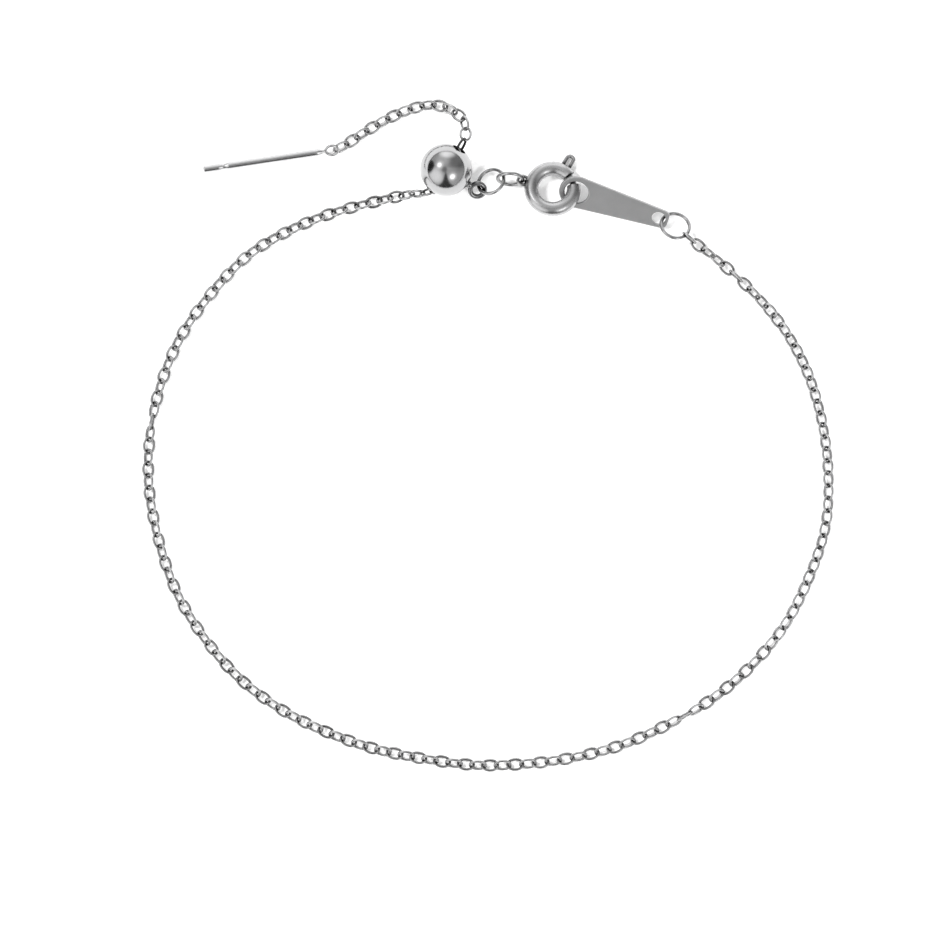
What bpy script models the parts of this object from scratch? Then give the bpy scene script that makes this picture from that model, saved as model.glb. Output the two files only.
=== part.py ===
"""Fine adjustable chain bracelet, laid flat: slider ball, jump rings, spring
ring clasp, end tag and threading pin. Metres, +Z up, resting on Z = 0."""

import math

import bmesh
import bpy
from mathutils import Euler, Matrix, Vector

MM = 0.001

# ---------------------------------------------------------------- dimensions
# All in millimetres and degrees.

CHAIN_DIA = 1.20          # envelope of the cable chain
CHAIN_STEP = 3.60         # spacing of the tube's points on gentle stretches
CHAIN_STEP_FINE = 1.25    # and where it turns into and out of the ball

BALL_DIA = 5.80
BALL_AT = (-4.68, 29.34, 2.90)
BALL_YAW = 57.0           # direction of the bore
BALL_RISE = 16.0          # and how far it climbs towards the tail
BORE_DIA = 1.54
MOUTH_FLAT_DIA = 1.70
MOUTH_CHAMFER = 0.06
LOOP_REACH = 4.36         # from the ball's centre to the side loop's centre
LOOP_YAW = -32.0
LOOP_DROP = 20.0
LOOP_ROLL = 20.0
LOOP_R = 0.80             # to the middle of the loop's wire
LOOP_WIRE = 0.55
NECK_DIA_BALL = 1.00
NECK_DIA_LOOP = 0.62

BALL_RING_AT = (0.31, 28.10, 1.57)
BALL_RING_R = 1.52
BALL_RING_WIRE = 0.40
BALL_RING_TURN = (-35.6, 0.0, 40.0)

CLASP_RING_AT = (2.43, 28.39, 1.50)
CLASP_RING_R = 1.385
CLASP_RING_WIRE = 0.44
CLASP_RING_TURN = (66.0, 0.0, -3.0)

CLASP_AT = (7.13, 27.30, 1.46)
CLASP_TURN = (-16.3, 0.0, 0.0)
CLASP_R = 2.36            # to the middle of the clasp's tube
CLASP_TUBE_DIA = 1.50     # at the mouth's two ends
CLASP_TUBE_FULL_DIA = 1.58      # and round the rest
MOUTH_FROM = 9.0          # the mouth, in degrees round the clasp
MOUTH_TO = 39.0
CAVITY_DIA = 0.96
CAVITY_TO = 102.0
SOCKET_DIA = 0.90
SOCKET_FROM = 3.0
SLOT_FROM = 46.0
SLOT_TO = 100.5
SLOT_HEIGHT = 0.62
EYE_ANGLE = 163.5
EYE_AT_R = 3.46
EYE_R = 0.53
EYE_WIRE = 0.34

TONGUE_DIA = 0.72
TONGUE_FROM = 5.5
TONGUE_TO = 70.0
TRIGGER_ANGLE = 60.5
TRIGGER_WIRE = 0.42
TRIGGER_HALF = 0.40       # from the trigger's middle to the middle of a leg
TRIGGER_BEND_R = 3.94     # where the legs meet the bend

TAG_AT = (9.78, 26.96, 1.38)   # middle of the wide hole
TAG_TURN = (30.5, 2.39, -17.4)
TAG_THICK = 0.40
TAG_LENGTH = 9.56         # from hole to hole
TAG_WIDE_R = 1.94
TAG_NARROW_HALF = 1.10
TAG_NARROW_END = 1.10     # from the small hole to the end
TAG_CORNER_R = 0.62
TAG_WIDE_HOLE_R = 1.33
TAG_SMALL_HOLE_R = 0.78
TAG_HOLE_CHAMFER = 0.10
TAG_EDGE_ROUND = 0.07

TAG_RING_AT = (20.74, 23.22, 1.06)
TAG_RING_R = 1.60
TAG_RING_WIRE = 0.40
TAG_RING_TURN = (-32.0, 0.0, -19.5)

PIN_TIP_AT = (-31.63, 29.50, 0.395)
PIN_TURN = (0.0, -1.05, 8.42)
PIN_ROD_R = 0.39
PIN_EYE_AT = 14.42        # from the tip to the middle of the eye
PIN_EYE_R = 0.675
PIN_EYE_WIRE = 0.35
PIN_EYE_TILT = 43.0

# The chain's middle line: from the tag's jump ring right round to the ball,
# through its bore, and back out along the tail to the pin's eye.
LOOP_ROUTE = (
    (22.28, 21.80, 1.15), (23.32, 21.05, 0.80), (24.80, 19.95, 0.60),
    (28.83, 16.39, 0.60), (32.53, 12.19, 0.60), (35.32, 7.20, 0.60),
    (37.00, 1.66, 0.60), (37.74, -4.18, 0.60), (37.45, -10.14, 0.60),
    (35.61, -15.81, 0.60), (32.92, -21.11, 0.60), (29.15, -25.67, 0.60),
    (24.68, -29.42, 0.60), (19.70, -32.26, 0.60), (14.61, -34.49, 0.60),
    (9.18, -35.86, 0.60), (3.78, -36.54, 0.60), (-1.63, -36.64, 0.60),
    (-6.98, -35.97, 0.60), (-12.38, -34.91, 0.60), (-17.69, -33.10, 0.60),
    (-22.84, -30.59, 0.60), (-27.52, -27.16, 0.60), (-31.42, -22.74, 0.60),
    (-34.53, -17.69, 0.60), (-36.53, -12.04, 0.60), (-37.66, -6.19, 0.60),
    (-37.60, -0.22, 0.60), (-36.39, 5.55, 0.60), (-34.13, 10.96, 0.60),
    (-30.78, 15.72, 0.60), (-26.89, 19.79, 0.60), (-23.76, 21.85, 0.60),
    (-20.29, 23.54, 0.60), (-17.59, 24.56, 0.60), (-14.87, 25.39, 0.61),
    (-12.26, 25.99, 0.70), (-10.08, 26.41, 0.92), (-8.54, 26.60, 1.25),
    (-7.39, 26.60, 1.62),
)
BORE_ROUTE = (-3.10, -1.60, 0.0, 1.60, 3.10)   # along the bore's own axis
TAIL_ROUTE = (
    (-2.53, 32.81, 3.45), (-2.35, 33.73, 2.72), (-2.56, 34.70, 1.92),
    (-3.26, 35.52, 1.28), (-4.26, 36.21, 0.86), (-5.45, 36.64, 0.65),
    (-6.69, 36.70, 0.60), (-8.06, 36.39, 0.60), (-10.44, 35.49, 0.60),
    (-12.94, 34.13, 0.60), (-15.08, 32.72, 0.60), (-16.19, 31.94, 0.60),
)

# ------------------------------------------------------------------- helpers


def clear_scene():
    for obj in list(bpy.data.objects):
        bpy.data.objects.remove(obj, do_unlink=True)


def material(name, colour, roughness, metallic=1.0):
    made = bpy.data.materials.new(name)
    made.use_nodes = True
    shader = next(n for n in made.node_tree.nodes if n.type == "BSDF_PRINCIPLED")
    shader.inputs["Base Color"].default_value = (*colour, 1.0)
    shader.inputs["Roughness"].default_value = roughness
    shader.inputs["Metallic"].default_value = metallic
    return made


def turned(degrees):
    return Euler([math.radians(d) for d in degrees], "XYZ")


def placed(at, turn):
    return Matrix.Translation(Vector(at)) @ turned(turn).to_matrix().to_4x4()


def mesh_object(name, verts, faces, at=(0, 0, 0), turn=(0, 0, 0), parent=None):
    """An object from vertices in millimetres, facing out."""
    mesh = bpy.data.meshes.new(name)
    mesh.from_pydata([[c * MM for c in v] for v in verts], [], faces)
    work = bmesh.new()
    work.from_mesh(mesh)
    bmesh.ops.recalc_face_normals(work, faces=work.faces)
    work.to_mesh(mesh)
    work.free()
    mesh.shade_smooth()
    mesh.set_sharp_from_angle(angle=math.radians(32))
    obj = bpy.data.objects.new(name, mesh)
    bpy.context.scene.collection.objects.link(obj)
    obj.location = [c * MM for c in at]
    obj.rotation_euler = turned(turn)
    obj.parent = parent
    return obj


def helper(obj):
    obj.hide_render = True
    obj.display_type = "WIRE"
    return obj


def boolean(obj, other, operation):
    step = obj.modifiers.new(other.name, "BOOLEAN")
    step.operation = operation
    step.solver = "EXACT"
    step.object = helper(other)


def torus(R, r, around=48, section=10, at=None):
    """A ring in its own XY plane, or moved by the matrix at."""
    verts, faces = [], []
    for i in range(around):
        a = 2 * math.pi * i / around
        for j in range(section):
            b = 2 * math.pi * j / section
            p = Vector(((R + r * math.cos(b)) * math.cos(a), (R + r * math.cos(b)) * math.sin(a), r * math.sin(b)))
            verts.append(at @ p if at else p)
    for i in range(around):
        for j in range(section):
            k, l = (i + 1) % around, (j + 1) % section
            faces.append((i * section + j, k * section + j, k * section + l, i * section + l))
    return verts, faces


def arc_tube(R, radius, start, end, steps, section):
    """A tube bent round Z from start to end degrees, with flat ends. radius is
    one number, or a function of the angle."""
    verts, faces = [], []
    for i in range(steps + 1):
        angle = start + (end - start) * i / steps
        a, r = math.radians(angle), radius(angle) if callable(radius) else radius
        for j in range(section):
            b = 2 * math.pi * j / section
            verts.append(((R + r * math.cos(b)) * math.cos(a), (R + r * math.cos(b)) * math.sin(a), r * math.sin(b)))
    for i in range(steps):
        for j in range(section):
            l = (j + 1) % section
            faces.append((i * section + j, (i + 1) * section + j, (i + 1) * section + l, i * section + l))
    faces.append(tuple(range(section)))
    faces.append(tuple(steps * section + j for j in range(section)))
    return verts, faces


def swept(points, r, section):
    """A round wire through the points, with flat ends."""
    verts, faces = [], []
    points = [Vector(p) for p in points]
    side = None
    for i, p in enumerate(points):
        along = (points[min(i + 1, len(points) - 1)] - points[max(i - 1, 0)]).normalized()
        side = Vector((0, 0, 1)) if side is None else side
        side = (side - along * side.dot(along)).normalized()
        other = along.cross(side)
        for j in range(section):
            b = 2 * math.pi * j / section
            verts.append(p + side * (r * math.cos(b)) + other * (r * math.sin(b)))
    for i in range(len(points) - 1):
        for j in range(section):
            l = (j + 1) % section
            faces.append((i * section + j, (i + 1) * section + j, (i + 1) * section + l, i * section + l))
    faces.append(tuple(range(section)))
    faces.append(tuple((len(points) - 1) * section + j for j in range(section)))
    return verts, faces


def lathe(profile, around, closed=False, axis="X", at=None):
    """Turns (along, radius) pairs about the axis. An open profile ends on the
    axis with a flat face at each end."""
    verts, faces = [], []
    n = len(profile)
    for x, r in profile:
        for i in range(around):
            a = 2 * math.pi * i / around
            p = (x, r * math.cos(a), r * math.sin(a)) if axis == "X" else (r * math.cos(a), r * math.sin(a), x)
            verts.append(at @ Vector(p) if at else p)
    for k in range(n if closed else n - 1):
        m = (k + 1) % n
        for i in range(around):
            j = (i + 1) % around
            faces.append((k * around + i, k * around + j, m * around + j, m * around + i))
    if not closed:
        faces.append(tuple(range(around)))
        faces.append(tuple((n - 1) * around + i for i in range(around)))
    return verts, faces


def smooth_route(points, step_of, lowest):
    """Points read at the wanted spacing from a smooth curve through the given
    ones, no lower than lowest. step_of takes a position and gives the spacing
    there."""
    points = [Vector(p) for p in points]
    ends = [points[0] * 2 - points[1], *points, points[-1] * 2 - points[-2]]
    dense = []
    for i in range(1, len(ends) - 2):
        p0, p1, p2, p3 = ends[i - 1:i + 3]
        t = [0.0]
        for a, b in ((p0, p1), (p1, p2), (p2, p3)):
            t.append(t[-1] + max((b - a).length, 1e-6) ** 0.5)
        for k in range(40):
            u = t[1] + (t[2] - t[1]) * k / 40
            a1 = p0 * ((t[1] - u) / (t[1] - t[0])) + p1 * ((u - t[0]) / (t[1] - t[0]))
            a2 = p1 * ((t[2] - u) / (t[2] - t[1])) + p2 * ((u - t[1]) / (t[2] - t[1]))
            a3 = p2 * ((t[3] - u) / (t[3] - t[2])) + p3 * ((u - t[2]) / (t[3] - t[2]))
            b1 = a1 * ((t[2] - u) / (t[2] - t[0])) + a2 * ((u - t[0]) / (t[2] - t[0]))
            b2 = a2 * ((t[3] - u) / (t[3] - t[1])) + a3 * ((u - t[1]) / (t[3] - t[1]))
            dense.append(b1 * ((t[2] - u) / (t[2] - t[1])) + b2 * ((u - t[1]) / (t[2] - t[1])))
    dense.append(points[-1])
    for p in dense:
        p.z = max(p.z, lowest)
    read, run = [dense[0]], 0.0
    for a, b in zip(dense, dense[1:]):
        run += (b - a).length
        if run >= step_of(b):
            read.append(b)
            run = 0.0
    if (read[-1] - dense[-1]).length > 0.5:
        read.append(dense[-1])
    else:
        read[-1] = dense[-1]
    return read


# ---------------------------------------------------------------- the pieces


def make_chain(steel):
    centre = Vector(BALL_AT)
    bore = turned((0, -BALL_RISE, BALL_YAW)).to_matrix() @ Vector((1, 0, 0))
    route = [*LOOP_ROUTE, *(centre + bore * d for d in BORE_ROUTE), *TAIL_ROUTE]
    turn_middle = Vector((-4.0, 31.1, 0))

    def step(p):
        return CHAIN_STEP_FINE if math.hypot(p.x - turn_middle.x, p.y - turn_middle.y) < 6.6 else CHAIN_STEP

    read = smooth_route(route, step, CHAIN_DIA / 2 + 0.003)
    curve = bpy.data.curves.new("chain", "CURVE")
    curve.dimensions = "3D"
    curve.bevel_depth = CHAIN_DIA / 2 * MM
    curve.bevel_resolution = 2
    curve.use_fill_caps = True
    line = curve.splines.new("POLY")
    line.points.add(len(read) - 1)
    for point, p in zip(line.points, read):
        point.co = (p.x * MM, p.y * MM, p.z * MM, 1)
    line.use_smooth = True
    obj = bpy.data.objects.new("chain", curve)
    bpy.context.scene.collection.objects.link(obj)
    curve.materials.append(steel)
    return obj


def make_slider_ball(steel):
    R, f = BALL_DIA / 2, MOUTH_FLAT_DIA / 2
    first = math.asin(f / R)
    profile = []
    for i in range(27):
        a = first + (math.pi - 2 * first) * i / 26
        profile.append((-R * math.cos(a), R * math.sin(a)))
    flat, bore = R * math.cos(first), BORE_DIA / 2
    profile += [
        (flat, bore + MOUTH_CHAMFER), (flat - MOUTH_CHAMFER, bore),
        (-flat + MOUTH_CHAMFER, bore), (-flat, bore + MOUTH_CHAMFER),
    ]
    ball = mesh_object("slider_ball", *lathe(profile, 48, closed=True), at=BALL_AT, turn=(0, -BALL_RISE, BALL_YAW))
    out = turned((LOOP_ROLL, LOOP_DROP, LOOP_YAW)).to_matrix().to_4x4()
    frame = Matrix.Translation(Vector(BALL_AT)) @ out
    neck = mesh_object("ball_neck", *lathe(
        [(R - 0.25, NECK_DIA_BALL / 2), (R + 0.12, NECK_DIA_BALL / 2 - 0.08), (R + 0.30, NECK_DIA_LOOP / 2), (LOOP_REACH - LOOP_R, NECK_DIA_LOOP / 2 - 0.06)],
        20, at=frame))
    loop = mesh_object("ball_side_loop", *torus(
        LOOP_R, LOOP_WIRE / 2, 40, 12, at=frame @ Matrix.Translation((LOOP_REACH, 0, 0))))
    boolean(ball, neck, "UNION")
    boolean(ball, loop, "UNION")
    ball.data.materials.append(steel)
    return ball


def make_jump_ring(name, R, wire, at, turn, steel):
    ring = mesh_object(name, *torus(R, wire / 2, 44, 10), at=at, turn=turn)
    ring.data.materials.append(steel)
    return ring


def make_clasp(ring_steel, latch_steel):
    axis = bpy.data.objects.new("clasp_axis", None)
    bpy.context.scene.collection.objects.link(axis)
    axis.empty_display_size = 0.004
    axis.location = [c * MM for c in CLASP_AT]
    axis.rotation_euler = turned(CLASP_TURN)

    def tube_radius(angle):
        """Swells from each end of the mouth to the full size."""
        share = min(1.0, (angle - MOUTH_TO) / 26, (360 + MOUTH_FROM - 3 - angle) / 30)
        share = max(0.0, share)
        share = share * share * (3 - 2 * share)
        return (CLASP_TUBE_DIA + (CLASP_TUBE_FULL_DIA - CLASP_TUBE_DIA) * share) / 2

    tube = mesh_object("clasp_ring", *arc_tube(
        CLASP_R, tube_radius, MOUTH_TO, 360 + MOUTH_FROM, 72, 16), parent=axis)
    a = math.radians(EYE_ANGLE)
    eye = mesh_object("clasp_eye", *torus(
        EYE_R, EYE_WIRE / 2, 32, 10,
        at=Matrix.Translation((EYE_AT_R * math.cos(a), EYE_AT_R * math.sin(a), 0))), parent=axis)
    cavity = mesh_object("clasp_cavity", *arc_tube(
        CLASP_R, CAVITY_DIA / 2, MOUTH_TO - 6, CAVITY_TO, 20, 14), parent=axis)
    socket = mesh_object("clasp_socket", *arc_tube(
        CLASP_R, SOCKET_DIA / 2, SOCKET_FROM, MOUTH_FROM + 6, 5, 14), parent=axis)
    verts, faces = [], []
    steps = 12
    for i in range(steps + 1):
        b = math.radians(SLOT_FROM + (SLOT_TO - SLOT_FROM) * i / steps)
        for r, z in ((CLASP_R, -1), (CLASP_R + 1.2, -1), (CLASP_R + 1.2, 1), (CLASP_R, 1)):
            verts.append((r * math.cos(b), r * math.sin(b), z * SLOT_HEIGHT / 2))
    for i in range(steps):
        for j in range(4):
            l = (j + 1) % 4
            faces.append((i * 4 + j, i * 4 + 4 + j, i * 4 + 4 + l, i * 4 + l))
    faces += [(0, 1, 2, 3), tuple(steps * 4 + j for j in range(4))]
    slot = mesh_object("clasp_slot", verts, faces, parent=axis)
    boolean(tube, eye, "UNION")
    boolean(tube, cavity, "DIFFERENCE")
    boolean(tube, socket, "DIFFERENCE")
    boolean(tube, slot, "DIFFERENCE")
    tube.data.materials.append(ring_steel)

    latch = mesh_object("clasp_latch", *arc_tube(
        CLASP_R, TONGUE_DIA / 2, TONGUE_FROM, TONGUE_TO, 18, 12), parent=axis)
    t = math.radians(TRIGGER_ANGLE)
    out, side = Vector((math.cos(t), math.sin(t), 0)), Vector((-math.sin(t), math.cos(t), 0))
    line = [out * CLASP_R + side * TRIGGER_HALF]
    for i in range(11):
        b = math.pi * i / 10
        line.append(out * (TRIGGER_BEND_R + TRIGGER_HALF * math.sin(b)) + side * (TRIGGER_HALF * math.cos(b)))
    line.append(out * CLASP_R - side * TRIGGER_HALF)
    trigger = mesh_object("clasp_trigger", *swept(line, TRIGGER_WIRE / 2, 10), parent=axis)
    boolean(latch, trigger, "UNION")
    latch.data.materials.append(latch_steel)
    return tube, latch


def make_end_tag(steel):
    # The outline's long sides run straight between the wide round end and the
    # narrow end, and touch the wide end's circle.
    a = math.asin((TAG_WIDE_R - TAG_NARROW_HALF) / TAG_LENGTH)
    outline = []
    first, last = math.pi / 2 - a, 3 * math.pi / 2 + a
    for i in range(29):
        b = first + (last - first) * i / 28
        outline.append((TAG_WIDE_R * math.cos(b), TAG_WIDE_R * math.sin(b)))
    end = TAG_LENGTH + TAG_NARROW_END
    half = TAG_NARROW_HALF - 0.02
    for cx, cy, b0 in ((end - TAG_CORNER_R, -half + TAG_CORNER_R, -90), (end - TAG_CORNER_R, half - TAG_CORNER_R, 0)):
        for i in range(9):
            b = math.radians(b0 + 90 * i / 8)
            outline.append((cx + TAG_CORNER_R * math.cos(b), cy + TAG_CORNER_R * math.sin(b)))
    n, t = len(outline), TAG_THICK / 2
    verts = [(x, y, -t) for x, y in outline] + [(x, y, t) for x, y in outline]
    faces = [tuple(range(n)), tuple(range(n, 2 * n))]
    faces += [(i, (i + 1) % n, n + (i + 1) % n, n + i) for i in range(n)]
    tag = mesh_object("end_tag", verts, faces, at=TAG_AT, turn=TAG_TURN)
    rounding = tag.modifiers.new("edge_round", "BEVEL")
    rounding.width = TAG_EDGE_ROUND * MM
    rounding.segments = 2
    rounding.limit_method = "ANGLE"
    rounding.angle_limit = math.radians(40)
    frame = placed(TAG_AT, TAG_TURN)
    for name, x, r in (("tag_wide_hole", 0.0, TAG_WIDE_HOLE_R), ("tag_small_hole", TAG_LENGTH, TAG_SMALL_HOLE_R)):
        c = TAG_HOLE_CHAMFER
        cutter = mesh_object(name, *lathe(
            [(-t - 0.3, r + c + 0.3), (-t + c, r), (t - c, r), (t + 0.3, r + c + 0.3)],
            36, axis="Z", at=frame @ Matrix.Translation((x, 0, 0))))
        boolean(tag, cutter, "DIFFERENCE")
    tag.data.materials.append(steel)
    return tag


def make_threading_pin(steel):
    r = PIN_ROD_R
    profile = [
        (0.0, r - 0.09), (0.10, r), (1.72, r), (1.92, r - 0.010), (2.10, r - 0.045), (2.25, r - 0.070),
        (2.40, r - 0.075), (2.55, r - 0.060), (2.72, r - 0.025), (2.90, r), (12.85, r), (13.15, r - 0.03),
        (13.40, r - 0.11), (13.60, r - 0.19), (PIN_EYE_AT - PIN_EYE_R, r - 0.24),
    ]
    pin = mesh_object("threading_pin", *lathe(profile, 24), at=PIN_TIP_AT, turn=PIN_TURN)
    frame = placed(PIN_TIP_AT, PIN_TURN)
    eye = mesh_object("pin_eye", *torus(
        PIN_EYE_R, PIN_EYE_WIRE / 2, 36, 10,
        at=frame @ placed((PIN_EYE_AT, 0, 0), (PIN_EYE_TILT, 0, 0))))
    boolean(pin, eye, "UNION")
    pin.data.materials.append(steel)
    return pin


def main():
    clear_scene()
    make_chain(material("chain_steel", (0.78, 0.78, 0.79), 0.18))
    make_slider_ball(material("ball_steel", (0.74, 0.74, 0.75), 0.08))
    ring_steel = material("jump_ring_steel", (0.70, 0.70, 0.71), 0.16)
    make_jump_ring("ball_jump_ring", BALL_RING_R, BALL_RING_WIRE, BALL_RING_AT, BALL_RING_TURN, ring_steel)
    make_jump_ring("clasp_jump_ring", CLASP_RING_R, CLASP_RING_WIRE, CLASP_RING_AT, CLASP_RING_TURN, ring_steel)
    make_clasp(material("clasp_steel", (0.72, 0.72, 0.73), 0.20), material("latch_steel", (0.66, 0.66, 0.67), 0.22))
    make_end_tag(material("tag_steel", (0.62, 0.62, 0.63), 0.42))
    make_jump_ring("tag_jump_ring", TAG_RING_R, TAG_RING_WIRE, TAG_RING_AT, TAG_RING_TURN, ring_steel)
    make_threading_pin(material("pin_steel", (0.74, 0.74, 0.75), 0.20))


main()
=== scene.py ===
"""Looks for the fine adjustable chain bracelet: links, ball, jump rings, clasp,
end tag and threading pin, on a white studio floor."""

import math
import random

import bmesh
import bpy
import numpy as np
from mathutils import Euler, Matrix, Vector
from mathutils.bvhtree import BVHTree


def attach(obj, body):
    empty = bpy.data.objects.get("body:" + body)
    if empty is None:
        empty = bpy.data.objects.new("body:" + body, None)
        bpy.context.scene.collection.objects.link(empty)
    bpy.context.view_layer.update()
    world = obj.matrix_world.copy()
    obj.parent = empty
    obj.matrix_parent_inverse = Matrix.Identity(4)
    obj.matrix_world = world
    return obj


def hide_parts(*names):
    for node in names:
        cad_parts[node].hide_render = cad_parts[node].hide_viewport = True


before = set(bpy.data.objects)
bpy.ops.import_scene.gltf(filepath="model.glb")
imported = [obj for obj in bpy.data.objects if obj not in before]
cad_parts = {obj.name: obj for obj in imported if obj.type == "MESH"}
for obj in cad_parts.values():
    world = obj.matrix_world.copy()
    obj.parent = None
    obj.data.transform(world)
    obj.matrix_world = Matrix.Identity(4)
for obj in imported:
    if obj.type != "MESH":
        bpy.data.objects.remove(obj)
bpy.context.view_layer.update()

MM = 0.001
rng = random.Random(7)

# ---------------------------------------------------------------- dimensions
# Millimetres and degrees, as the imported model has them.

BALL_R, BALL_AT, BALL_YAW, BALL_RISE = 2.90, (-4.68, 29.34, 2.90), 57.0, 16.0
BORE_R, MOUTH_R = 0.77, 0.85
LOOP_REACH, LOOP_TURN, LOOP_R, LOOP_WIRE = 4.36, (20.0, 20.0, -32.0), 0.80, 0.55

RING_1 = dict(at=(0.31, 28.10, 1.57), turn=(-35.6, 0.0, 40.0), R=1.52, wire=0.40, cut=62)
RING_2 = dict(at=(2.43, 28.39, 1.50), turn=(66.0, 0.0, -3.0), R=1.385, wire=0.44, cut=250)
RING_3 = dict(at=(20.74, 23.22, 1.06), turn=(-32.0, 0.0, -19.5), R=1.60, wire=0.40, cut=75)

CLASP_AT, CLASP_TURN, CLASP_R = (7.13, 27.30, 1.46), (-16.3, 0.0, 0.0), 2.36
TUBE_R, FULL_R, CAVITY_R, SOCKET_R, TONGUE_R = 0.75, 0.79, 0.48, 0.45, 0.36
MOUTH_FROM, MOUTH_TO = 9.0, 39.0

TAG_AT, TAG_TURN = (9.78, 26.96, 1.38), (30.5, 2.39, -17.4)
TAG_T, TAG_L, TAG_WIDE_R, TAG_HALF, TAG_END, TAG_CORNER = 0.40, 9.56, 1.94, 1.08, 1.10, 0.62
TAG_HOLE_R, TAG_SMALL_R = 1.33, 0.78

PIN_AT, PIN_TURN, PIN_R = (-31.63, 29.50, 0.395), (0.0, -1.05, 8.42), 0.39
PIN_EYE_AT, PIN_EYE_R, PIN_EYE_WIRE, PIN_EYE_TILT = 14.42, 0.675, 0.35, 43.0

LINK_WIRE, LINK_LONG, LINK_WIDE = 0.30, 2.04, 1.43

# The chain's middle line, from the tag's jump ring round to the ball, through
# it, and along the tail to the pin's eye.
LIE = 0.50
ROUTE = (
    (21.79, 22.29, 1.46), (22.75, 21.47, 1.02), (23.80, 20.67, 0.66), (24.80, 19.95, LIE), (28.83, 16.39, LIE), (32.53, 12.19, LIE),
    (35.32, 7.20, LIE), (37.00, 1.66, LIE), (37.74, -4.18, LIE), (37.45, -10.14, LIE), (35.61, -15.81, LIE),
    (32.92, -21.11, LIE), (29.15, -25.67, LIE), (24.68, -29.42, LIE), (19.70, -32.26, LIE), (14.61, -34.49, LIE),
    (9.18, -35.86, LIE), (3.78, -36.54, LIE), (-1.63, -36.64, LIE), (-6.98, -35.97, LIE), (-12.38, -34.91, LIE),
    (-17.69, -33.10, LIE), (-22.84, -30.59, LIE), (-27.52, -27.16, LIE), (-31.42, -22.74, LIE), (-34.53, -17.69, LIE),
    (-36.53, -12.04, LIE), (-37.66, -6.19, LIE), (-37.60, -0.22, LIE), (-36.39, 5.55, LIE), (-34.13, 10.96, LIE),
    (-30.78, 15.72, LIE), (-26.89, 19.79, LIE), (-23.76, 21.85, LIE), (-20.29, 23.54, LIE), (-17.59, 24.56, LIE),
    (-14.87, 25.35, 0.51), (-12.26, 25.98, 0.60), (-10.08, 26.46, 0.84), (-8.54, 26.72, 1.20), (-7.25, 26.80, 1.64),
    (-6.28, 26.98, 2.06), (-5.52, 28.05, 2.46), (-4.68, 29.34, 2.90), (-3.84, 30.63, 3.34), (-3.06, 31.84, 3.75),
    (-2.56, 32.81, 3.46), (-2.38, 33.73, 2.71), (-2.60, 34.70, 1.90), (-3.28, 35.52, 1.24), (-4.26, 36.21, 0.80),
    (-5.45, 36.62, 0.57), (-6.69, 36.67, LIE), (-8.06, 36.39, LIE), (-10.44, 35.49, LIE), (-12.94, 34.13, LIE),
    (-15.08, 32.74, 0.52), (-16.30, 31.92, 0.62), (-16.94, 31.66, 0.66),
)

# ----------------------------------------------------------------- materials


def nodes_of(material):
    material.use_nodes = True
    tree = material.node_tree
    shader = next(n for n in tree.nodes if n.type == "BSDF_PRINCIPLED")
    return tree, shader


def link(tree, a, b):
    tree.links.new(a, b)


def noise(tree, coords, scale, detail=3.0, roughness=0.5, stretch=None, turn=(0, 0, 0)):
    node = tree.nodes.new("ShaderNodeTexNoise")
    node.inputs["Scale"].default_value = scale
    node.inputs["Detail"].default_value = detail
    node.inputs["Roughness"].default_value = roughness
    if stretch:
        mapping = tree.nodes.new("ShaderNodeMapping")
        mapping.inputs["Scale"].default_value = stretch
        mapping.inputs["Rotation"].default_value = turn
        link(tree, coords, mapping.inputs["Vector"])
        coords = mapping.outputs["Vector"]
    link(tree, coords, node.inputs["Vector"])
    return node.outputs["Fac"]


def ramp(tree, value, low, high, at=(0.3, 0.7)):
    node = tree.nodes.new("ShaderNodeMapRange")
    node.inputs["From Min"].default_value = at[0]
    node.inputs["From Max"].default_value = at[1]
    node.inputs["To Min"].default_value = low
    node.inputs["To Max"].default_value = high
    link(tree, value, node.inputs["Value"])
    return node.outputs["Result"]


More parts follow.
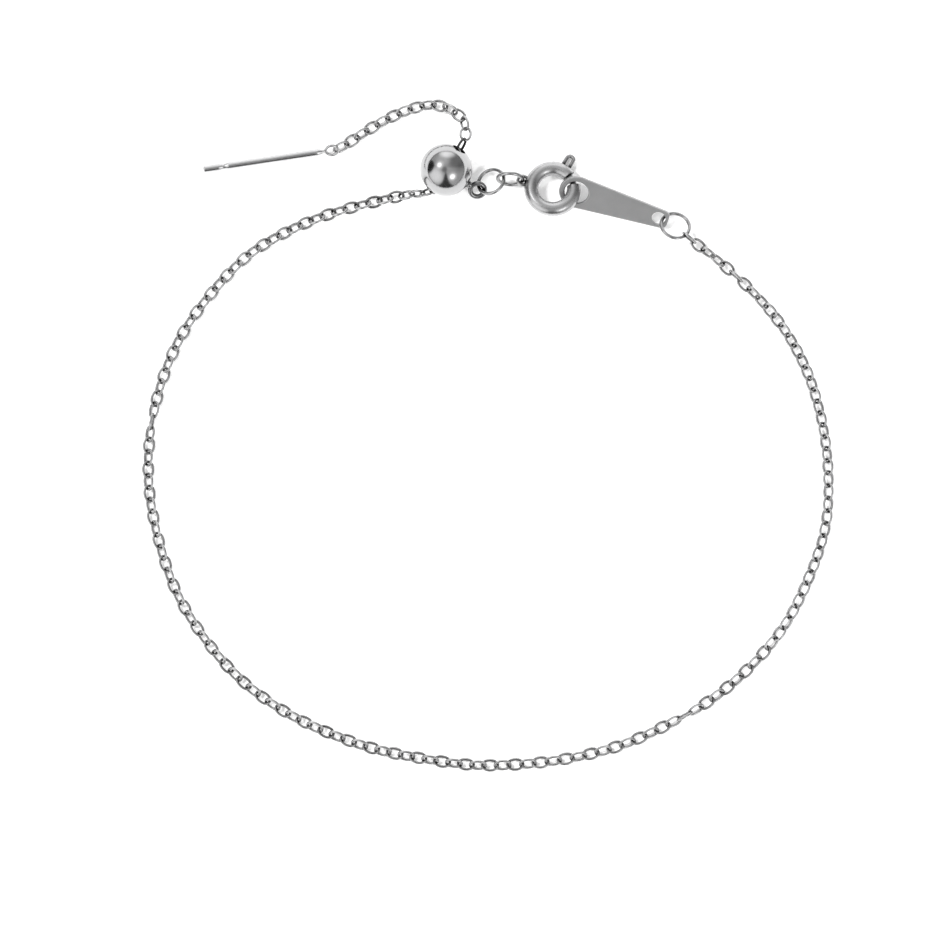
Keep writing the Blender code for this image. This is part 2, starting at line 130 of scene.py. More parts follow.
def steel(name, light, dark, rough, scratch=0.15, grain=None, bump=0.00001, grain_turn=(0, 0, 0),
          shade_grey=0.10, open_from=(0.30, 0.90)):
    """Polished or satin steel. light and dark are the greys that its surface
    varies between, rough the roughness range, grain the stretch of the fine
    brush marks, if it has any. Where the recess colour says a point is closed in,
    the colour is painted towards a dark grey as shade, fading out over open_from."""
    material = bpy.data.materials.new(name)
    tree, shader = nodes_of(material)
    shader.inputs["Metallic"].default_value = 1.0
    coords = tree.nodes.new("ShaderNodeTexCoord").outputs["Object"]
    cloud = noise(tree, coords, 520.0, 4.0, 0.6)
    mix = tree.nodes.new("ShaderNodeMix")
    mix.data_type = "RGBA"
    mix.inputs[6].default_value = (*dark, 1)
    mix.inputs[7].default_value = (*light, 1)
    link(tree, ramp(tree, cloud, 0.0, 1.0), mix.inputs[0])
    # The recess colour paints shade: the steel goes towards a dark grey where other pieces close it in.
    recess_shade = tree.nodes.new("ShaderNodeVertexColor")
    recess_shade.layer_name = "recess_shade"
    shaded_mix = tree.nodes.new("ShaderNodeMix")
    shaded_mix.data_type = "RGBA"
    shaded_mix.inputs[6].default_value = (shade_grey, shade_grey, shade_grey * 1.01, 1)
    link(tree, mix.outputs[2], shaded_mix.inputs[7])
    link(tree, ramp(tree, recess_shade.outputs["Color"], 0.0, 1.0, at=open_from), shaded_mix.inputs[0])
    link(tree, shaded_mix.outputs[2], shader.inputs["Base Color"])
    fine = noise(tree, coords, 2600.0, 5.0, 0.65)
    marks = noise(tree, coords, 1.0, 2.0, 0.5, stretch=grain or (9000.0, 1400.0, 9000.0), turn=grain_turn)
    both = tree.nodes.new("ShaderNodeMath")
    both.operation = "MULTIPLY_ADD"
    link(tree, marks, both.inputs[0])
    both.inputs[1].default_value = scratch
    link(tree, fine, both.inputs[2])
    link(tree, ramp(tree, both.outputs[0], rough[0], rough[1], at=(0.35, 0.75)), shader.inputs["Roughness"])
    dent = tree.nodes.new("ShaderNodeBump")
    dent.inputs["Strength"].default_value = 1.0
    dent.inputs["Distance"].default_value = bump
    link(tree, both.outputs[0], dent.inputs["Height"])
    link(tree, dent.outputs["Normal"], shader.inputs["Normal"])
    return material


CHAIN = steel("chain_steel", (0.50, 0.50, 0.503), (0.40, 0.40, 0.404), (0.14, 0.26), bump=0.000002,
              shade_grey=0.02, open_from=(0.40, 1.0))
BALL = steel("ball_steel", (0.40, 0.40, 0.403), (0.38, 0.38, 0.384), (0.12, 0.17), scratch=0.1, bump=0.0000003,
             shade_grey=0.05, open_from=(0.45, 0.92))
RING = steel("jump_ring_steel", (0.42, 0.42, 0.423), (0.33, 0.33, 0.334), (0.14, 0.26), bump=0.0000015,
             shade_grey=0.02, open_from=(0.45, 1.0))
# The side loop is the ball's steel, painted darker as shade from the ball beside it.
SHADED_LOOP = steel("loop_steel_painted_shade", (0.30, 0.30, 0.303), (0.24, 0.24, 0.244), (0.14, 0.24), bump=0.0000015,
             shade_grey=0.02, open_from=(0.50, 1.0))
CLASP = steel("clasp_steel", (0.46, 0.46, 0.463), (0.39, 0.39, 0.394), (0.20, 0.30), scratch=0.4,
              grain=(1200.0, 1200.0, 9000.0), bump=0.000002, shade_grey=0.05, open_from=(0.50, 1.0))
LATCH = steel("latch_steel", (0.38, 0.38, 0.383), (0.32, 0.32, 0.324), (0.20, 0.32), bump=0.000002,
              shade_grey=0.04, open_from=(0.45, 1.0))
TAG = steel("tag_steel", (0.435, 0.435, 0.438), (0.395, 0.395, 0.398), (0.38, 0.50), scratch=0.6,
            grain=(700.0, 9000.0, 9000.0), bump=0.000006, grain_turn=(0, 0, math.radians(17.4)),
            shade_grey=0.06, open_from=(0.20, 0.75))
PIN = steel("pin_steel", (0.58, 0.58, 0.583), (0.51, 0.51, 0.514), (0.14, 0.22), scratch=0.5,
            grain=(900.0, 8000.0, 8000.0), bump=0.000002, grain_turn=(0, 0, math.radians(-8.4)),
            shade_grey=0.20, open_from=(0.40, 0.95))

STEELS = (CHAIN, BALL, RING, SHADED_LOOP, CLASP, LATCH, TAG, PIN)

# -------------------------------------------------------------------- shapes


def turned(degrees):
    return Euler([math.radians(d) for d in degrees], "XYZ")


def placed(at, turn):
    return Matrix.Translation(Vector(at)) @ turned(turn).to_matrix().to_4x4()


def joined(*shapes):
    """Several (vertices, faces) pairs as one."""
    verts, faces = [], []
    for v, f in shapes:
        base = len(verts)
        verts += list(v)
        faces += [tuple(i + base for i in face) for face in f]
    return verts, faces


def piece(name, shape, at=None, material=None, sharp=38, body="bracelet", replaces=()):
    """A mesh object from millimetres, with at applied to its vertices, so that
    its origin stays at the row's."""
    verts, faces = shape
    if at is not None:
        verts = [at @ Vector(v) for v in verts]
    mesh = bpy.data.meshes.new(name)
    mesh.from_pydata([[c * MM for c in v] for v in verts], [], faces)
    work = bmesh.new()
    work.from_mesh(mesh)
    bmesh.ops.recalc_face_normals(work, faces=work.faces)
    work.to_mesh(mesh)
    work.free()
    mesh.shade_smooth()
    mesh.set_sharp_from_angle(angle=math.radians(sharp))
    obj = bpy.data.objects.new(name, mesh)
    bpy.context.scene.collection.objects.link(obj)
    if material:
        mesh.materials.append(material)
    if replaces:
        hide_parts(*replaces)
        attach(obj, body)
    return obj


def cut(obj, other, sharp=38):
    """Takes other out of obj for good, and removes other."""
    step = obj.modifiers.new("cut", "BOOLEAN")
    step.operation, step.solver, step.object = "DIFFERENCE", "EXACT", other
    bpy.context.view_layer.update()
    graph = bpy.context.evaluated_depsgraph_get()
    made = bpy.data.meshes.new_from_object(obj.evaluated_get(graph))
    obj.modifiers.clear()
    old, obj.data = obj.data, made
    bpy.data.meshes.remove(old)
    bpy.data.objects.remove(other, do_unlink=True)
    obj.data.shade_smooth()
    obj.data.set_sharp_from_angle(angle=math.radians(sharp))


def sweep(points, radii, section=16, closed=False, up=(0, 0, 1), caps=True):
    """A round wire along the points. radii is one radius or one for each."""
    points = [Vector(p) for p in points]
    n = len(points)
    if not hasattr(radii, "__len__"):
        radii = [radii] * n
    verts, faces, side = [], [], Vector(up)
    for i, p in enumerate(points):
        a = points[(i - 1) % n] if closed else points[max(i - 1, 0)]
        b = points[(i + 1) % n] if closed else points[min(i + 1, n - 1)]
        along = (b - a).normalized()
        side = (side - along * side.dot(along)).normalized()
        other = along.cross(side)
        for j in range(section):
            t = 2 * math.pi * j / section
            verts.append(p + side * (radii[i] * math.cos(t)) + other * (radii[i] * math.sin(t)))
    for i in range(n if closed else n - 1):
        k = (i + 1) % n
        for j in range(section):
            l = (j + 1) % section
            faces.append((i * section + j, k * section + j, k * section + l, i * section + l))
    if caps and not closed:
        faces += [tuple(range(section)), tuple((n - 1) * section + j for j in range(section))]
    return verts, faces


def ring_points(R, start, end, steps):
    return [Vector((R * math.cos(math.radians(a)), R * math.sin(math.radians(a)), 0))
            for a in (start + (end - start) * i / steps for i in range(steps + 1))]


def moved(shape, at):
    return [at @ Vector(v) for v in shape[0]], shape[1]


def torus(R, r, around=96, section=24):
    return sweep(ring_points(R, 0, 360, around)[:-1], r, section, closed=True)


def cut_ring(R, r, cut, gap=1.6, around=96, section=20):
    """A jump ring: a round wire whose two square ends nearly meet."""
    points = ring_points(R, cut + gap / 2, cut + 360 - gap / 2, around)
    radii = [r] * len(points)
    radii[0] = radii[-1] = r - 0.022
    points.insert(1, points[0].lerp(points[1], 0.22))
    points.insert(-1, points[-1].lerp(points[-2], 0.22))
    radii = [radii[0], *[r] * (len(points) - 2), radii[-1]]
    return sweep(points, radii, section)


def turned_profile(profile, around=64, closed=False):
    """(along X, radius) pairs turned about X. An open profile's ends get flat
    faces, or meet the axis where their radius is near nothing."""
    verts, faces, n = [], [], len(profile)
    for x, r in profile:
        for i in range(around):
            a = 2 * math.pi * i / around
            verts.append((x, max(r, 1e-4) * math.cos(a), max(r, 1e-4) * math.sin(a)))
    for k in range(n if closed else n - 1):
        m = (k + 1) % n
        for i in range(around):
            j = (i + 1) % around
            faces.append((k * around + i, k * around + j, m * around + j, m * around + i))
    if not closed:
        faces += [tuple(range(around)), tuple((n - 1) * around + i for i in range(around))]
    return verts, faces


def smooth(points, per=24):
    """Points on a smooth curve through the given ones."""
    points = [Vector(p) for p in points]
    ends = [points[0] * 2 - points[1], *points, points[-1] * 2 - points[-2]]
    out = []
    for i in range(1, len(ends) - 2):
        p0, p1, p2, p3 = ends[i - 1:i + 3]
        t = [0.0]
        for a, b in ((p0, p1), (p1, p2), (p2, p3)):
            t.append(t[-1] + max((b - a).length, 1e-6) ** 0.5)
        for k in range(per):
            u = t[1] + (t[2] - t[1]) * k / per
            a1 = p0.lerp(p1, (u - t[0]) / (t[1] - t[0]))
            a2 = p1.lerp(p2, (u - t[1]) / (t[2] - t[1]))
            a3 = p2.lerp(p3, (u - t[2]) / (t[3] - t[2]))
            b1 = a1.lerp(a2, (u - t[0]) / (t[2] - t[0]))
            b2 = a2.lerp(a3, (u - t[1]) / (t[3] - t[1]))
            out.append(b1.lerp(b2, (u - t[1]) / (t[2] - t[1])))
    out.append(points[-1])
    return out


# --------------------------------------------------------------------- chain


def link_template(steps=28, section=10):
    """One oval link of round wire, its length along X, lying in XY."""
    long, wide = (LINK_LONG - LINK_WIRE) / 2, (LINK_WIDE - LINK_WIRE) / 2
    path = []
    for i in range(steps):
        a = 2 * math.pi * i / steps
        c, d = math.cos(a), math.sin(a)
        path.append(Vector((math.copysign(long * abs(c) ** 0.96, c), math.copysign(wide * abs(d) ** 0.92, d), 0)))
    verts, faces = sweep(path, LINK_WIRE / 2, section, closed=True)
    verts, faces = np.array([tuple(v) for v in verts]), np.array(faces)
    a, b, c = (verts[faces[:, i]] for i in range(3))
    if np.einsum("ij,ij->", np.cross(b - a, c - a), a) < 0:      # inside out
        faces = faces[:, ::-1]
    return verts, faces


# Where the links lie: a point near the chain, the link count there less its
# whole part (0 where two links meet, 0.5 at a link's middle), and the links
# since the last such point, or None to take the nearest fit.
MARKS = (
    (23.33, 21.01, 0.5, 1.5), (26.62, 18.62, 0.5, 3), (32.11, 12.78, 0.5, 6), (37.76, -4.08, 0.0, None),
    (21.81, -31.14, 0.5, None), (0.26, -36.82, 0.5, None), (-37.15, 1.51, 0.5, None), (-17.88, 24.62, 0.5, None),
    (-12.69, 26.02, 0.5, 4), (-6.75, 26.93, 0.5, 5), (-3.08, 31.92, 0.5, None), (-2.39, 34.70, 0.5, 2), (-6.69, 36.63, 0.5, 4),
    (-12.94, 34.13, 0.5, 5), (-16.23, 31.86, 0.5, 3),
)
# How far the links lean from lying flat: the first ones, then from each of these
# link counts on, the lean of every other link and of those between.
FIRST_LEANS = (80, -14, 58, -50, 10, 82, -12, 56, -40, 30, -16, 44)
# Links that lie their own way: x, y and lean.
OWN_LEANS = (
    (21.81, -31.14, 80), (-37.15, 1.51, 80), (-8.83, 26.72, -46), (-7.70, 26.86, 58), (-6.72, 26.93, -58),
    (-3.08, 31.92, 64), (-2.55, 33.20, 6),
)


def make_chain():
    line = smooth(ROUTE)
    pts = np.array([tuple(p) for p in line])
    run = np.r_[0, np.cumsum(np.linalg.norm(np.diff(pts, axis=0), axis=1))]
    at_s, at_k, low = [0.0], [0.0], 0
    for x, y, part, more in MARKS:
        d = np.hypot(pts[low:, 0] - x, pts[low:, 1] - y)
        d[run[low:] - run[low] > 75] = 1e9
        i = low + int(np.argmin(d))
        s_ = run[i]
        guess = at_k[-1] + (s_ - at_s[-1]) / (1.385 if -37 < y < -30 else 1.335)
        k = at_k[-1] + more if more else round(guess - part) + part
        at_s.append(s_)
        at_k.append(k)
        low = i
    count = int(round(at_k[-1] + 0.5))
    at_s.append(run[-1])
    at_k.append(float(count))
    where = np.interp(np.arange(count + 1), at_k, at_s)
    joints = np.array([[np.interp(m, run, pts[:, i]) for i in range(3)] for m in where])
    bottom_k, corner_k, mouth_k = at_k[6] - 0.5, at_k[8] - 0.5, at_k[11] - 0.5

    lean = []
    for k in range(count):
        middle = (joints[k] + joints[k + 1]) / 2
        y = middle[1]
        if k < len(FIRST_LEANS):
            a = FIRST_LEANS[k]
        elif k >= mouth_k:
            a = 12 if (count - 1 - k) % 2 else -42
        elif middle[0] > 20 and y > -24:
            a = 35 if k % 2 else -31
        elif y < 5 and middle[0] > -28:
            a = 9 if (k - bottom_k) % 2 == 0 else -40
        elif y < 5:
            a = 14 if (k - bottom_k) % 2 == 0 else -42
        else:
            a = 10 if (k - corner_k) % 2 == 0 else -44
        if k >= len(FIRST_LEANS):
            a += rng.uniform(-6, 6)
        for x0, y0, own in OWN_LEANS:
            if math.hypot(middle[0] - x0, y - y0) < 0.5:
                a = own
        lean.append(a)

    verts0, faces0 = link_template()
    all_verts, all_faces, tones = [], [], []
    low = LINK_WIRE / 2 + 0.006
    half_wide = (LINK_WIDE - LINK_WIRE) / 2
    rise = [half_wide * abs(math.sin(math.radians(a))) for a in lean]
    for k in range(count):
        a, b = joints[k].copy(), joints[k + 1].copy()
        along = b - a
        along /= np.linalg.norm(along)
        side = np.cross([0, 0, 1.0], along)
        side /= np.linalg.norm(side)
        up = np.cross(along, side)
        t = math.radians(lean[k])
        y = side * math.cos(t) + up * math.sin(t)
        z = np.cross(along, y)
        centre = (a + b) / 2
        if centre[2] < LIE + 0.12:
            near = max(rise[max(k - 1, 0)], rise[min(k + 1, count - 1)])
            centre[2] = low + max(rise[k], min(near, 0.45) * 0.60)
        axes = np.stack([along, y, z], axis=1)
        v = verts0 @ axes.T + centre
        v[:, 2] += max(0.0, 0.004 - v[:, 2].min())
        all_faces.append(faces0 + len(verts0) * k)
        all_verts.append(v)
        # Links that lie flat are painted darker than those that stand up, as painted
        # shade, most of all at the bottom of the loop and where it comes to the ball. Each link also gets a small
        # random tone.
        flat = max(0.0, 1.0 - abs(lean[k]) / 30.0)
        flat_shade = 0.30 if centre[1] < -24 or (centre[0] < -9 and 22 < centre[1] < 27) else 0.12
        # The link at the ball's upper mouth gets the deepest painted shade.
        if 31.2 < centre[1] < 32.4 and abs(centre[0] + 3) < 1:
            flat, flat_shade = 1.0, 0.5
        tones += [1.0 - flat * flat_shade + rng.uniform(-0.06, 0.03)] * len(v)
    verts, faces = np.vstack(all_verts), np.vstack(all_faces)
    mesh = bpy.data.meshes.new("chain_links")
    mesh.from_pydata((verts * MM).tolist(), [], faces.tolist())
    mesh.shade_smooth()
    obj = bpy.data.objects.new("chain_links", mesh)
    bpy.context.scene.collection.objects.link(obj)
    mesh.materials.append(CHAIN)
    mesh.attributes.new("shade_and_tone", "FLOAT", "POINT").data.foreach_set("value", tones)
    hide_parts("chain")
    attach(obj, "bracelet")
    return obj


# ---------------------------------------------------------------------- ball


def make_ball():
    first = math.asin(MOUTH_R / BALL_R)
    profile = []
    for i in range(97):
        a = first + 0.012 + (math.pi - 2 * first - 0.024) * i / 96
        profile.append((-BALL_R * math.cos(a), BALL_R * math.sin(a)))
    flat = BALL_R * math.cos(first)
    for x, r in ((flat + 0.001, MOUTH_R - 0.006), (flat, BORE_R + 0.055), (flat - 0.018, BORE_R + 0.018), (flat - 0.06, BORE_R)):
        profile.append((x, r))
    for x, r in ((-flat + 0.06, BORE_R), (-flat + 0.018, BORE_R + 0.018), (-flat, BORE_R + 0.055), (-flat - 0.001, MOUTH_R - 0.006)):
        profile.append((x, r))
    ball = moved(turned_profile(profile, 128, closed=True), placed(BALL_AT, (0, -BALL_RISE, BALL_YAW)))
    out = Matrix.Translation(Vector(BALL_AT)) @ turned(LOOP_TURN).to_matrix().to_4x4()
    # The solder: wide on the ball, drawn in, and up round the loop's wire.
    neck = [(2.70, 0.78), (2.80, 0.70), (2.88, 0.60), (2.95, 0.50), (3.02, 0.43), (3.12, 0.385), (3.24, 0.37), (3.36, 0.375), (3.46, 0.35), (3.56, 0.24)]
    loop = torus(LOOP_R, LOOP_WIRE / 2, 72, 24)
    piece("ball", ball, material=BALL, replaces=("slider_ball",))
    side = joined(moved(turned_profile(neck, 40), out), moved(loop, out @ Matrix.Translation((LOOP_REACH, 0, 0))))
    # The loop takes the darker steel: painted shade from the ball.
    piece("ball_side_loop", side, material=SHADED_LOOP, replaces=("slider_ball",))


# --------------------------------------------------------------------- clasp


def make_clasp():
    at = placed(CLASP_AT, CLASP_TURN)
    R = CLASP_R

    def tube_path(start, end, steps):
        return ring_points(R, start, end, steps)

    def tube_radius(angle):
        share = max(0.0, min(1.0, (angle - MOUTH_TO) / 26, (360 + MOUTH_FROM - 3 - angle) / 30))
        return TUBE_R + (FULL_R - TUBE_R) * share * share * (3 - 2 * share)

    # The tube's outside and its open end as one skin, then the two hollows.
    c = 0.05
    ends = math.degrees(c / R)
    first, last = MOUTH_TO + ends, 360 + MOUTH_FROM - ends
    angles = [MOUTH_TO, *(first + (last - first) * i / 150 for i in range(151)), 360 + MOUTH_FROM]
    path = [ring_points(R, a, a, 1)[0] for a in angles]
    radii = [TUBE_R - c, *(tube_radius(a) for a in angles[1:-1]), TUBE_R - c]
    body = piece("clasp_tube", sweep(path, radii, 32), at=at, material=CLASP)
    hollow = piece("hollow", sweep(tube_path(MOUTH_TO - 5, 102, 40), CAVITY_R, 28), at=at)
    cut(body, hollow)
    socket = piece("socket", sweep(tube_path(3, MOUTH_FROM + 5, 6), SOCKET_R, 28), at=at)
    cut(body, socket)
    verts, faces, steps = [], [], 24
    for i in range(steps + 1):
        b = math.radians(46 + 54.5 * i / steps)
        for r, z in ((R, -0.31), (R + 1.2, -0.31), (R + 1.2, 0.31), (R, 0.31)):
            verts.append((r * math.cos(b), r * math.sin(b), z))
    for i in range(steps):
        for j in range(4):
            l = (j + 1) % 4
            faces.append((i * 4 + j, i * 4 + 4 + j, i * 4 + 4 + l, i * 4 + l))
    faces += [(0, 1, 2, 3), tuple(steps * 4 + j for j in range(4))]
    cut(body, piece("slot", (verts, faces), at=at))
    a = math.radians(163.5)
    eye = moved(torus(0.53, 0.17, 56, 18), Matrix.Translation((3.46 * math.cos(a), 3.46 * math.sin(a), 0)))
    fillet = turned_profile([(2.92, 0.44), (3.01, 0.37), (3.07, 0.30), (3.13, 0.24), (3.19, 0.18), (3.24, 0.12)], 24)
    fillet = moved(fillet, Matrix.Rotation(a, 4, "Z"))
    eye_piece = piece("clasp_eye", joined(eye, fillet), at=at, material=CLASP)
    for obj in (body, eye_piece):
        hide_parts("clasp_ring")
        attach(obj, "bracelet")

    # The tongue, with its rounded tip, and the trigger: a wire bent back on
    # itself, whose two legs go down into the tongue.
    path, radii = [], []
    for i in range(7):
        b = math.pi / 2 * i / 6
        path.append(5.5 + math.degrees(0.16 * (1 - math.cos(b)) / R))
        radii.append(TONGUE_R - 0.16 + 0.16 * math.sin(b))
    for i in range(1, 31):
        path.append(path[6] + (70 - path[6]) * i / 30)
        radii.append(TONGUE_R)
    tongue = sweep([Vector((R * math.cos(math.radians(d)), R * math.sin(math.radians(d)), 0)) for d in path], radii, 24)
    t = math.radians(60.5)
    out, side = Vector((math.cos(t), math.sin(t), 0)), Vector((-math.sin(t), math.cos(t), 0))
    line = [out * R + side * 0.40, out * (R + 0.5) + side * 0.40, out * 3.5 + side * 0.40]
    for i in range(25):
        b = math.pi * i / 24
        line.append(out * (3.94 + 0.40 * math.sin(b)) + side * (0.40 * math.cos(b)))
    line += [out * 3.5 - side * 0.40, out * (R + 0.5) - side * 0.40, out * R - side * 0.40]
    trigger = sweep(line, 0.21, 18)
    piece("latch", joined(tongue, trigger), at=at, material=LATCH, body="latch", replaces=("clasp_latch",))


# ----------------------------------------------------------------------- tag


def make_tag():
    a = math.asin((TAG_WIDE_R - TAG_HALF - 0.02) / TAG_L)
    outline = []
    first, last = math.pi / 2 - a, 3 * math.pi / 2 + a
    for i in range(65):
        b = first + (last - first) * i / 64
        outline.append((TAG_WIDE_R * math.cos(b), TAG_WIDE_R * math.sin(b)))
    end = TAG_L + TAG_END
    for cx, cy, b0 in ((end - TAG_CORNER, -TAG_HALF + TAG_CORNER, -90), (end - TAG_CORNER, TAG_HALF - TAG_CORNER, 0)):
        for i in range(17):
            b = math.radians(b0 + 90 * i / 16)
            outline.append((cx + TAG_CORNER * math.cos(b), cy + TAG_CORNER * math.sin(b)))
    t, n = TAG_T / 2, len(outline)
    # Rings of the outline drawn in towards each face make the rolled edge.
    levels = []
    for k in range(6):
        b = math.pi / 2 * k / 5
        levels.append((1 - math.sin(b), 1 - math.cos(b), -1))
    levels += [(d, z, 1) for d, z, _ in reversed(levels)]
    verts = []
    for d_, z_, face in levels:
        for i, (x, y) in enumerate(outline):
            e = 0.06 + 0.08 * max(0.0, min(1.0, (1.6 - x) / 1.6))
            d, z = e * d_, face * (t - e * z_)
            p0, p1 = Vector(outline[i - 1]), Vector(outline[(i + 1) % n])
            along = (p1 - p0).normalized()
            inward = Vector((-along.y, along.x))
            verts.append((x + inward.x * d, y + inward.y * d, z))
    faces = [tuple(range(n)), tuple((len(levels) - 1) * n + i for i in range(n))]
    for k in range(len(levels) - 1):
        for i in range(n):
            j = (i + 1) % n
            faces.append((k * n + i, k * n + j, (k + 1) * n + j, (k + 1) * n + i))
    at = placed(TAG_AT, TAG_TURN)
    tag = piece("tag", (verts, faces), at=at, material=TAG, sharp=32)
    for name, x, r, lip in (("wide_hole", 0.0, TAG_HOLE_R, 0.15), ("small_hole", TAG_L, TAG_SMALL_R, 0.08)):
        profile = [(-t - 0.25, r + lip)] + [(-t + lip * (1 - math.cos(math.pi / 2 * k / 8)), r + lip * (1 - math.sin(math.pi / 2 * k / 8))) for k in range(9)]
        profile += [(-x_, r_) for x_, r_ in reversed(profile)]
        cutter = piece(name, turned_profile(profile, 96), at=at @ Matrix.Translation((x, 0, 0)) @ Matrix.Rotation(-math.pi / 2, 4, "Y") @ Matrix.Rotation(0.011, 4, "X"))
        cut(tag, cutter, sharp=32)
    normal = at.to_3x3() @ Vector((0, 0, 1))
    for face in tag.data.polygons:
        if abs(face.normal.dot(normal)) > 0.9998:
            face.use_smooth = False
    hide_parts("end_tag")
    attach(tag, "bracelet")


# ----------------------------------------------------------------------- pin


def make_pin():
    r = PIN_R
    profile = [(0.0, r - 0.10), (0.012, r - 0.085), (0.085, r - 0.012), (0.11, r), (0.15, r), (0.30, r), (1.50, r), (1.66, r)]
    for i in range(1, 24):
        u = i / 24
        profile.append((1.66 + 1.28 * u, r - 0.078 * math.sin(math.pi * u) ** 2))
    profile += [(2.94, r), (3.1, r), (4.5, r), (7.0, r), (10.0, r), (12.5, r), (12.7, r)]
    for i in range(1, 14):
        u = i / 13
        profile.append((12.7 + 1.05 * u, r - (r - 0.155) * (u * u * (3 - 2 * u))))
    rod = turned_profile(profile, 56)
    eye = moved(torus(PIN_EYE_R, PIN_EYE_WIRE / 2, 72, 20), placed((PIN_EYE_AT, 0, 0), (PIN_EYE_TILT, 0, 0)))
    piece("pin", joined(rod, eye), at=placed(PIN_AT, PIN_TURN), material=PIN, replaces=("threading_pin",))


# ------------------------------------------------------------------- painted recess shade


def bake_recess_shade(objects, reach=2.2, rays=18):
    """Stores on each point how open it is, from 0 deep between pieces to 1 in the
    clear. The steel's colour is painted darker in its recesses, as shade."""
    bpy.context.view_layer.update()
    verts, faces = [], []
    for obj in objects:
        base, world_ = len(verts), obj.matrix_world
        verts += [world_ @ v.co for v in obj.data.vertices]
        faces += [[i + base for i in f.vertices] for f in obj.data.polygons]
    tree = BVHTree.FromPolygons(verts, faces)
    golden, ways = math.pi * (3 - math.sqrt(5)), []
    for i in range(rays):
        u = (i + 0.5) / rays
        r = math.sqrt(u)
        ways.append((r * math.cos(i * golden), r * math.sin(i * golden), math.sqrt(1 - u)))
    far = reach * MM
    for obj in objects:
        world_ = obj.matrix_world
        values = [1.0] * len(obj.data.vertices) if obj.data.materials[0] is TAG else []
        for v in obj.data.vertices if not values else ():
            n = (world_.to_3x3() @ v.normal).normalized()
            p = world_ @ v.co + n * (0.012 * MM)
            s1 = n.orthogonal().normalized()
            s2 = n.cross(s1)
            lost = 0.0
            for x, y, z in ways:
                hit = tree.ray_cast(p, s1 * x + s2 * y + n * z, far)
                if hit[0] is not None:
                    lost += (1.0 - hit[3] / far) ** 0.7
            values.append(1.0 - lost / rays)
        # The links' painted shade and random tone darken the values further.
        shade_and_tone = obj.data.attributes.get("shade_and_tone")
        if shade_and_tone:
            values = [v * t.value for v, t in zip(values, shade_and_tone.data)]
        store = obj.data.color_attributes.new("recess_shade", "FLOAT_COLOR", "POINT")
        store.data.foreach_set("color", [c for v in values for c in (v, v, v, 1.0)])


# --------------------------------------------------------------------- build

make_chain()
make_ball()
for name, node, spec in (("ring_ball", "ball_jump_ring", RING_1), ("ring_clasp", "clasp_jump_ring", RING_2), ("ring_tag", "tag_jump_ring", RING_3)):
    piece(name, cut_ring(spec["R"], spec["wire"] / 2, spec["cut"]), at=placed(spec["at"], spec["turn"]),
          material=RING, replaces=(node,))
make_clasp()
make_tag()
make_pin()
bake_recess_shade([o for o in bpy.data.objects if o.type == "MESH" and o.data.materials and o.data.materials[0] in STEELS])

# --------------------------------------------------------------------- stage


def look_at(obj, target):
    obj.rotation_euler = (Vector(target) - obj.location).to_track_quat("-Z", "Y").to_euler()


CENTRE = Vector((-1.48, -4.44, 0)) * MM          # what the frame's middle looks at
FRAME_WIDTH = 950 / 9.0 * MM
HIGH = 0.75

camera_data = bpy.data.cameras.new("camera")
camera = bpy.data.objects.new("camera", camera_data)
bpy.context.scene.collection.objects.link(camera)
camera.location = CENTRE + Vector((0, 0, HIGH))
camera_data.sensor_width = 36.0
camera_data.lens = 36.0 * HIGH / FRAME_WIDTH
camera_data.clip_start, camera_data.clip_end = 0.01, 20.0
bpy.context.scene.camera = camera

floor_mesh = bpy.data.meshes.new("floor")
S = 4.0
floor_mesh.from_pydata([(-S, -S, 0), (S, -S, 0), (S, S, 0), (-S, S, 0)], [], [(0, 1, 2, 3)])
floor = bpy.data.objects.new("floor", floor_mesh)
bpy.context.scene.collection.objects.link(floor)
floor_material = bpy.data.materials.new("floor_white")
floor_tree, floor_shader = nodes_of(floor_material)
floor_shader.inputs["Base Color"].default_value = (0.90, 0.90, 0.90, 1)
floor_shader.inputs["Roughness"].default_value = 0.9
floor_shader.inputs["Specular IOR Level"].default_value = 0.0
floor_shader.inputs["Emission Color"].default_value = (1, 1, 1, 1)      # a sheet lit a little from below
floor_shader.inputs["Emission Strength"].default_value = 0.20
floor_mesh.materials.append(floor_material)


def direction(zenith, azimuth):
    z, a = math.radians(zenith), math.radians(azimuth)
    return Vector((math.sin(z) * math.cos(a), math.sin(z) * math.sin(a), math.cos(z)))


HERE = Vector((-4.7, 29.3, 2.9)) * MM
ROOM_NORTH, ROOM_SOUTH = 0.62, 0.78
# zenith, azimuth, inner and outer radius in degrees, and how much brighter
PATCHES = (
    (56, -148, 6, 40, 0.85),    # south-west, broad
    (80, 86, 3, 34, 1.20),      # north, low
    (48, 104, 6, 38, 0.30),     # north
    (60, 35, 8, 50, -0.30),     # north-east, dim
    (35, 147, 4, 24, 0.55),     # round the key
    (44, -49, 4, 24, 0.55),     # round the fill
    (35, 147, 1, 13, 2.20),     # the key itself, through its shade
    (44, -49, 1, 14, 2.40),     # and the fill
    (84, -10, 10, 50, -0.14),   # east, low
    (78, 170, 2, 27, -1.40),    # something dark in the west
    (7, 195, 1, 16, -0.45),     # and overhead
)


def area(name, zenith, azimuth, distance, size, power, shape="DISK", size_y=None, spread=math.pi):
    data = bpy.data.lights.new(name, "AREA")
    data.shape = shape
    data.size = size
    if size_y:
        data.size_y = size_y
    data.energy = power
    data.spread = spread
    obj = bpy.data.objects.new(name, data)
    bpy.context.scene.collection.objects.link(obj)
    obj.location = HERE + direction(zenith, azimuth) * distance
    look_at(obj, HERE)
    obj.visible_camera = obj.visible_glossy = False
    return obj


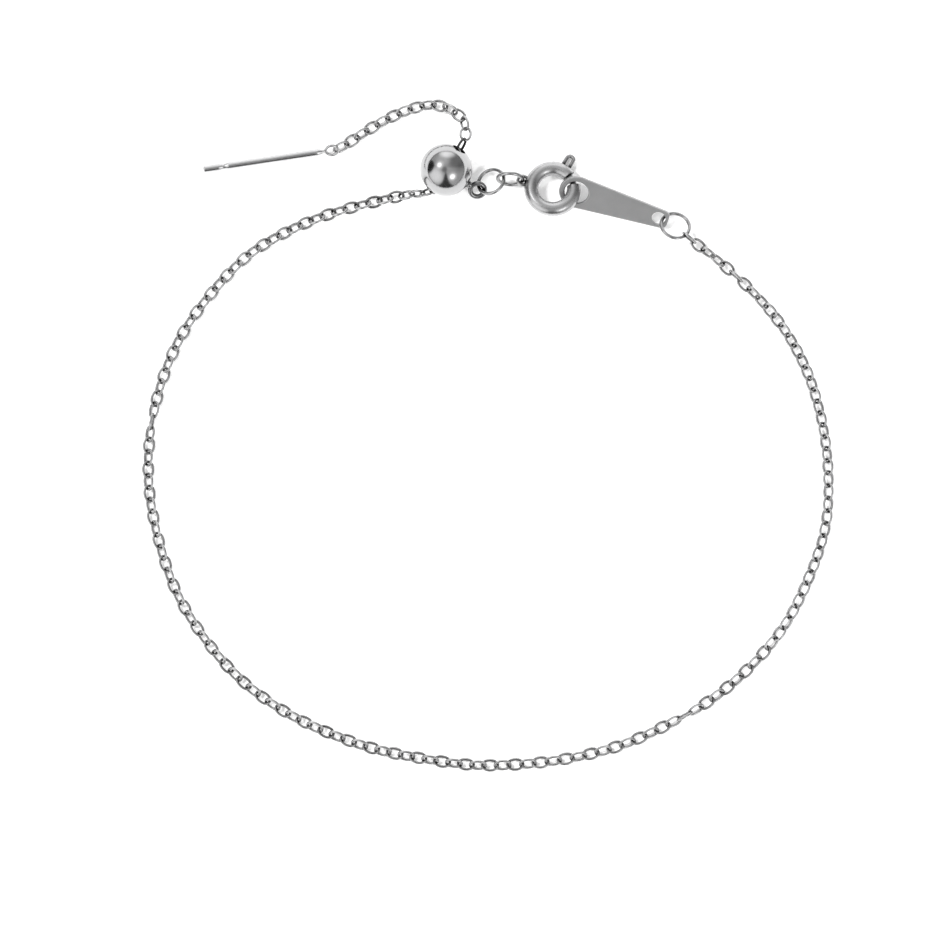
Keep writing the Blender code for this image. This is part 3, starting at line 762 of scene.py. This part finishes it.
# The room round the table, as brightness by direction: lighter to the south than
# to the north, with a few soft patches, and a dark wedge where someone stands.
world = bpy.data.worlds.new("studio")
bpy.context.scene.world = world
world.use_nodes = True
room = world.node_tree
background = next(n for n in room.nodes if n.type == "BACKGROUND")
way = room.nodes.new("ShaderNodeTexCoord").outputs["Generated"]
split = room.nodes.new("ShaderNodeSeparateXYZ")
link(room, way, split.inputs[0])


def maths(operation, a, b=None):
    node = room.nodes.new("ShaderNodeMath")
    node.operation = operation
    for socket, value in zip(node.inputs, (a, b)):
        if value is None:
            continue
        if isinstance(value, (int, float)):
            socket.default_value = value
        else:
            link(room, value, socket)
    return node.outputs[0]


def step(value, low, high, to_low, to_high):
    node = room.nodes.new("ShaderNodeMapRange")
    node.interpolation_type = "SMOOTHSTEP"
    for name, number in (("From Min", low), ("From Max", high), ("To Min", to_low), ("To Max", to_high)):
        node.inputs[name].default_value = number
    link(room, value, node.inputs["Value"])
    return node.outputs["Result"]


def patch(zenith, azimuth, inner, outer, amount):
    """amount within inner degrees of a direction, nothing beyond outer."""
    node = room.nodes.new("ShaderNodeVectorMath")
    node.operation = "DOT_PRODUCT"
    link(room, way, node.inputs[0])
    node.inputs[1].default_value = direction(zenith, azimuth)
    return step(node.outputs["Value"], math.cos(math.radians(outer)), math.cos(math.radians(inner)), 0.0, amount)


light = step(split.outputs["Y"], 0.06, 0.22, ROOM_SOUTH, ROOM_NORTH)
for spec in PATCHES:
    light = maths("ADD", light, patch(*spec))
light = maths("MAXIMUM", light, 0.03)
aside = maths("ABSOLUTE", maths("ADD", split.outputs["X"], 0.02))
wedge = maths("ADD", maths("MULTIPLY", aside, step(split.outputs["Z"], 0.0, 0.75, 1.75, 3.4)), split.outputs["Y"])
light = maths("MULTIPLY", light, step(wedge, -0.36, 0.10, 0.10, 1.0))
light = maths("MULTIPLY", light, step(split.outputs["Z"], 0.0, 0.13, 0.22, 1.0))
link(room, light, background.inputs["Strength"])
background.inputs["Color"].default_value = (1, 1, 1, 1)

area("key", 35, 147, 1.2, 0.25, 9.2)
area("fill", 43.7, -49, 1.2, 0.22, 5.7)

bpy.context.scene.view_settings.view_transform = "Standard"
bpy.context.scene.view_settings.look = "None"
bpy.context.scene.view_settings.exposure = 0.0
bpy.context.scene.view_settings.gamma = 1.0
